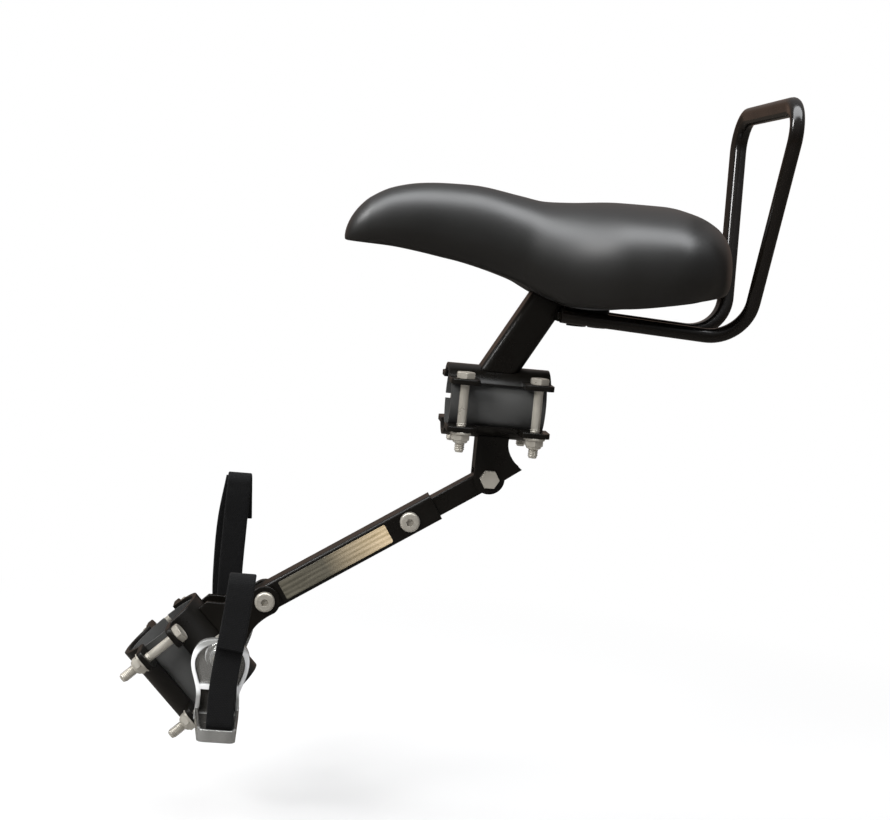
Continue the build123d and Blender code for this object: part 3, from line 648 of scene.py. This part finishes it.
def clamp_fasteners(name, body, place, reach, seat, lower_face, tip):
    """Bolts, washers and lock nuts of one clamp, standing for the clamp's plain ones."""
    spots = [
        place @ Matrix.Translation((t, y, 0))
        for t in (-bolt_spacing / 2, bolt_spacing / 2)
        for y in (-reach, reach)
    ]
    washer_low = lower_face - washer_height
    head = hex_head(hex_flats, head_height, seat)
    rod = threaded_rod(bolt_radius, seat, tip, lower_face + thread_above_ear)
    washer = flat_washer(washer_radius, bolt_radius + 0.25, washer_low, washer_height)
    nut = lock_nut(hex_flats, nut_height, washer_low, bolt_radius + 0.05)
    for part, solids in (("bolts", (head, rod)), ("washers", (washer,)), ("nuts", (nut,))):
        placed = [(solid, spot) for spot in spots for solid in solids]
        piece = crease_smooth(joined(f"{name}_{part}_detailed", placed))
        finish_piece(piece, materials["zinc"], body, "zinc", f"{name}_{part}")


def ringed_nut(bore):
    """Nut with a flange, a stepped collar and a domed end, standing on its own plane."""
    return turned([
        (bore, 0.0),
        (8.0, 0.0),
        (8.4, 0.4),
        (8.4, 1.2),
        (8.0, 1.6),
        (6.5, 1.7),
        (6.3, 2.0),
        (6.3, 4.2),
        (5.9, 5.3),
        (5.0, 6.1),
        (bore, 6.5),
    ], 64)


nut_face = rim_outer + nut_gap
nut_spots = [
    Matrix.Translation((axle.x, side * nut_face, axle.z)) @ Matrix.Rotation(-side * math.pi / 2, 4, "X")
    for side in (-1, 1)
]
axle_ends = crease_smooth(joined("axle_nuts_detailed", [(ringed_nut(axle_nut_bore), m) for m in nut_spots]))
finish_piece(axle_ends, materials["plated_footrest"], "lower_clamp", "zinc", "axle_nuts")

top_clamp = Matrix.Identity(4)
down_clamp = Matrix((
    (down_along.x, 0, down_up.x, down_centre.x),
    (down_along.y, 1, down_up.y, down_centre.y),
    (down_along.z, 0, down_up.z, down_centre.z),
    (0, 0, 0, 1),
))
clamp_fasteners("top_clamp", "seat", top_clamp, reach=27.0, seat=14.5, lower_face=-16.0, tip=-28.0)
clamp_fasteners("down_clamp", "lower_clamp", down_clamp, reach=35.0, seat=10.0, lower_face=-14.0, tip=-30.0)


# Bare plate on the strut's near face
upper_end, lower_end = plate_from + plate_corner, plate_to - plate_corner
flat_half = plate_half_width - plate_corner
corners = [
    (lower_end, flat_half, 0),
    (upper_end, flat_half, 90),
    (upper_end, -flat_half, 180),
    (lower_end, -flat_half, 270),
]
outline = []
for corner_s, corner_n, start in corners:
    for a in np.radians(start + np.linspace(0, 90, 5)):
        outline.append((corner_s + plate_corner * math.cos(a), corner_n + plate_corner * math.sin(a)))
levels = [(0.0, 0.0), (plate_thickness * 0.6, 0.0), (plate_thickness, plate_edge)]
plate_points = []
for level, inset in levels:
    for s, n in outline:
        shrink_s = inset if s > (plate_from + plate_to) / 2 else -inset
        shrink_n = inset if n > 0 else -inset
        p = strut_pivot + strut_ahead * (s - shrink_s) + strut_up * (n - shrink_n)
        plate_points.append((p.x, -tube_half - level, p.z))
plate = mesh_object("strut_plate", plate_points, loft_faces(len(levels), len(outline)), smooth=False)
lay_texture(plate, outline * len(levels))
finish_piece(plate, plate_finish, "strut_tube", "zinc")


# Foot straps: flat bands with rounded edges along a smooth path
strap_width, strap_thickness = 14.8, 1.8
band_steps = 10


def band(name, side, path):
    """Band through points (outwards, up, along) about the axle; the outward side is left or right."""
    path = np.array(path, float)
    chord = lengths_along(path)
    fine = np.linspace(0.0, chord[-1], band_steps * (len(path) - 1) + 1)
    line = np.stack([cubic_through(chord, c, np.gradient(c, chord), fine) for c in path.T], axis=1)
    centre = np.stack([axle.x + line[:, 2], side * line[:, 0], axle.z + line[:, 1]], axis=1)
    tangent = np.gradient(centre, axis=0)
    tangent /= np.linalg.norm(tangent, axis=1)[:, None]
    across = np.array([1.0, 0.0, 0.0]) - tangent * tangent[:, :1]
    across /= np.linalg.norm(across, axis=1)[:, None]
    normal = np.cross(tangent, across)
    edge = strap_thickness / 2
    half_flat = strap_width / 2 - edge
    section = []
    for end, start in ((-1, 90), (1, -90)):
        for a in np.radians(np.linspace(start, start + 180, 7)):
            section.append((end * half_flat + edge * math.cos(a), edge * math.sin(a)))
        for t in np.linspace(end, -end, 9)[1:-1]:
            section.append((t * half_flat, end * edge))
    points = [c + a * s + n * h for c, a, n in zip(centre, across, normal) for s, h in section]
    obj = mesh_object(name, points, loft_faces(len(centre), len(section)))
    lay_texture(obj, [(travelled, s) for travelled in lengths_along(centre) for s, _ in section])
    return obj


# Where the bands run, from the axle: outwards and up
tray_band = -32.4
strap_outer = 87.0
lean_start = -28.6
bend_height = 3.0
strap_top_reach = 71.5
on_arm = 51.7
stand_off, stand_off_height = 60.5, -5.0
fold_width, fold_height = 9.0, 3.0
ply_offset = 2.1


def leaning(points, course):
    """Adds the place along the bicycle to points (outwards, up), by a course of (up, place)."""
    heights, places = zip(*course)
    return [(v, w, float(monotone(heights, places, np.clip(w, heights[0], heights[-1])))) for v, w in points]


def strap_pair(word, side, top, flap_end, lower_course, rise_course, flap_course):
    """Lower and upper band of one foot, and the way the upper one folds over the lower."""
    lower_top = top - fold_height
    slope = (strap_outer - strap_top_reach) / (lower_top - lean_start)
    outside = ply_offset * math.hypot(1, slope)
    flap_top = strap_top_reach + outside - slope * fold_height
    flap_foot = strap_top_reach + outside + slope * (lower_top - flap_end)
    inner_top = flap_top - fold_width
    # Under the tray, round its outer edge and up
    lower = [(64.0, tray_band), (76.0, tray_band), (strap_outer - 2.2, tray_band + 0.1)]
    lower += [(strap_outer - 0.5, tray_band + 1.0), (strap_outer, tray_band + 3.2)]
    leaning_heights = np.linspace(lean_start + bend_height, lower_top, 5)
    lower += [(strap_outer - slope * (w - lean_start), w) for w in leaning_heights]
    # Up the arm's face, out over the axle nut and up to the fold
    rise = [(on_arm, -31.0), (on_arm, -25.0), (on_arm + 0.4, -19.5)]
    rise += [(56.0, -13.6), (59.5, -9.4), (stand_off, stand_off_height)]
    for share in (0.35, 0.7, 1.0):
        rise.append((stand_off + (inner_top - stand_off) * share, stand_off_height + lower_top * share))
    # Over the lower band's end and down outside it
    fold = [(inner_top + 0.8, top - 3.2), (inner_top + 3.4, top - 0.5), (flap_top - 3.2, top - 0.5)]
    flap = [(flap_top - 0.4, top - 3.2)]
    for share in (0.25, 0.55, 0.8, 1.0):
        flap.append((flap_top + (flap_foot - flap_top) * share, top + (flap_end - top) * share))
    lower_path = leaning(lower, lower_course)
    upper_path = leaning(rise + fold, rise_course) + leaning(flap, flap_course)
    for part, path in (("lower", lower_path), ("upper", upper_path)):
        piece = band(f"{word}_{part}_band", side, path)
        finish_piece(piece, materials["webbing"], f"{word}_foot", "webbing", f"{word}_strap_{part}")


near_course = [(-33.0, 3.3), (-18.0, 3.1), (-4.0, 3.5), (6.0, 4.4), (18.0, 6.2), (52.0, 9.0)]
strap_pair(
    "left", side=-1, top=51.6, flap_end=11.6,
    lower_course=near_course,
    rise_course=near_course,
    flap_course=near_course,
)
strap_pair(
    "right", side=1, top=86.5, flap_end=56.5,
    lower_course=[(-33.0, 1.2), (-24.0, 0.6), (14.0, -5.6), (50.0, -5.2), (87.0, -1.2)],
    rise_course=[(-33.0, 1.2), (22.0, -1.2), (87.0, -0.3)],
    flap_course=[(56.0, 1.8), (87.0, -0.3)],
)


# Stage: pale floor below the part, white behind it, soft boxes above and beside the camera
white = (1.0, 1.0, 1.0)
floor_drop, floor_reach = 60.0, 6000.0
floor_shade = (0.72, 0.72, 0.72)
mirrored_floor, mirrored_floor_share = (0.10, 0.085, 0.07), 0.95


def stage_material():
    """Pale floor: it takes the shadow, fades to white away from the part and is dim in metal and gloss."""
    material, tree, shader = new_material("pale_floor", floor_shade, 0.9, specular=0.0)
    path = tree.nodes.new("ShaderNodeLightPath")
    distance = tree.nodes.new("ShaderNodeVectorMath")
    distance.operation = "LENGTH"
    tree.links.new(coordinates(tree), distance.inputs[0])
    fade = spread(tree, distance.outputs["Value"], 0.60, 1.0, 0.30, 0.75)
    surface = shader.outputs["BSDF"]
    glows = (("Is Glossy Ray", mirrored_floor, mirrored_floor_share), ("Is Camera Ray", white, fade))
    for ray, color, share in glows:
        glow = tree.nodes.new("ShaderNodeEmission")
        glow.inputs["Color"].default_value = (*color, 1.0)
        blend = tree.nodes.new("ShaderNodeMixShader")
        tree.links.new(computed(tree, "MULTIPLY", path.outputs[ray], share), blend.inputs["Fac"])
        tree.links.new(surface, blend.inputs[1])
        tree.links.new(glow.outputs["Emission"], blend.inputs[2])
        surface = blend.outputs["Shader"]
    tree.links.new(surface, tree.nodes["Material Output"].inputs["Surface"])
    return material


floor_height = cad_box[0].z / MM - floor_drop
floor_signs = [(-1, -1), (1, -1), (1, 1), (-1, 1)]
floor_corners = [(x * floor_reach, y * floor_reach, floor_height) for x, y in floor_signs]
floor = mesh_object("floor", floor_corners, [(0, 1, 2, 3)], smooth=False)
floor.data.materials.append(stage_material())

# Surroundings that the part mirrors: a dim warm room with a pale ceiling,
# and a share of the white that the camera sees
mirrored_share = 0.08
room_front = (0.022, 0.018, 0.014)
room_back = (0.17, 0.09, 0.05)
room_high = (0.40, 0.40, 0.41)
world = bpy.data.worlds.new("studio")
bpy.context.scene.world = world
world.use_nodes = True
sky = world.node_tree
direction = axes(sky, coordinates(sky, "Generated"))
height = spread(sky, direction["Z"], 0.0, 1.0, 0.1, 1.0)
behind = spread(sky, direction["Y"], 0.0, 1.0, 0.3, 1.0)
walls = color_between(sky, behind, room_front, room_back)
room = color_between(sky, height, walls, room_high)
rays = sky.nodes.new("ShaderNodeLightPath").outputs
mirrored = computed(sky, "MULTIPLY_ADD", rays["Is Glossy Ray"], mirrored_share, rays["Is Camera Ray"])
sky.links.new(color_between(sky, mirrored, room, white), sky.nodes["Background"].inputs["Color"])


def soft_box(name, place, target, size, power):
    """Rectangular lamp in millimetres that looks at a target."""
    lamp = bpy.data.lights.new(name, "AREA")
    lamp.shape = "RECTANGLE"
    lamp.size, lamp.size_y = size[0] * MM, size[1] * MM
    lamp.energy = power
    obj = bpy.data.objects.new(name, lamp)
    bpy.context.scene.collection.objects.link(obj)
    obj.location = Vector(place) * MM
    obj.rotation_euler = (Vector(target) - Vector(place)).to_track_quat("-Z", "Y").to_euler()
    return obj


top_box = soft_box("top_box", place=(-20, -240, 1150), target=(20, 0, 60), size=(2100, 680), power=27.0)
top_box.data.color = (0.96, 0.98, 1.0)
fill_box = soft_box("fill_box", place=(-900, -900, 700), target=(-60, 0, -40), size=(500, 500), power=20.0)
fill_box.visible_glossy = False
soft_box("edge_box", place=(-1080, -170, 830), target=(0, 0, 40), size=(320, 320), power=8.0)

camera_data = bpy.data.cameras.new("camera")
camera_data.sensor_fit = "HORIZONTAL"
camera_data.sensor_width = sensor_width
camera_data.lens = camera_lens
camera_data.clip_start, camera_data.clip_end = 0.01, 50.0
camera = bpy.data.objects.new("camera", camera_data)
bpy.context.scene.collection.objects.link(camera)
right, up = Vector(camera_right).normalized(), Vector(camera_up).normalized()
back = right.cross(up).normalized()
up = back.cross(right)
viewing_axes = Matrix((right, up, back)).transposed().to_4x4()
camera.matrix_world = Matrix.Translation(Vector(camera_place) * MM) @ viewing_axes
bpy.context.scene.camera = camera
bpy.context.scene.view_settings.view_transform = "Standard"
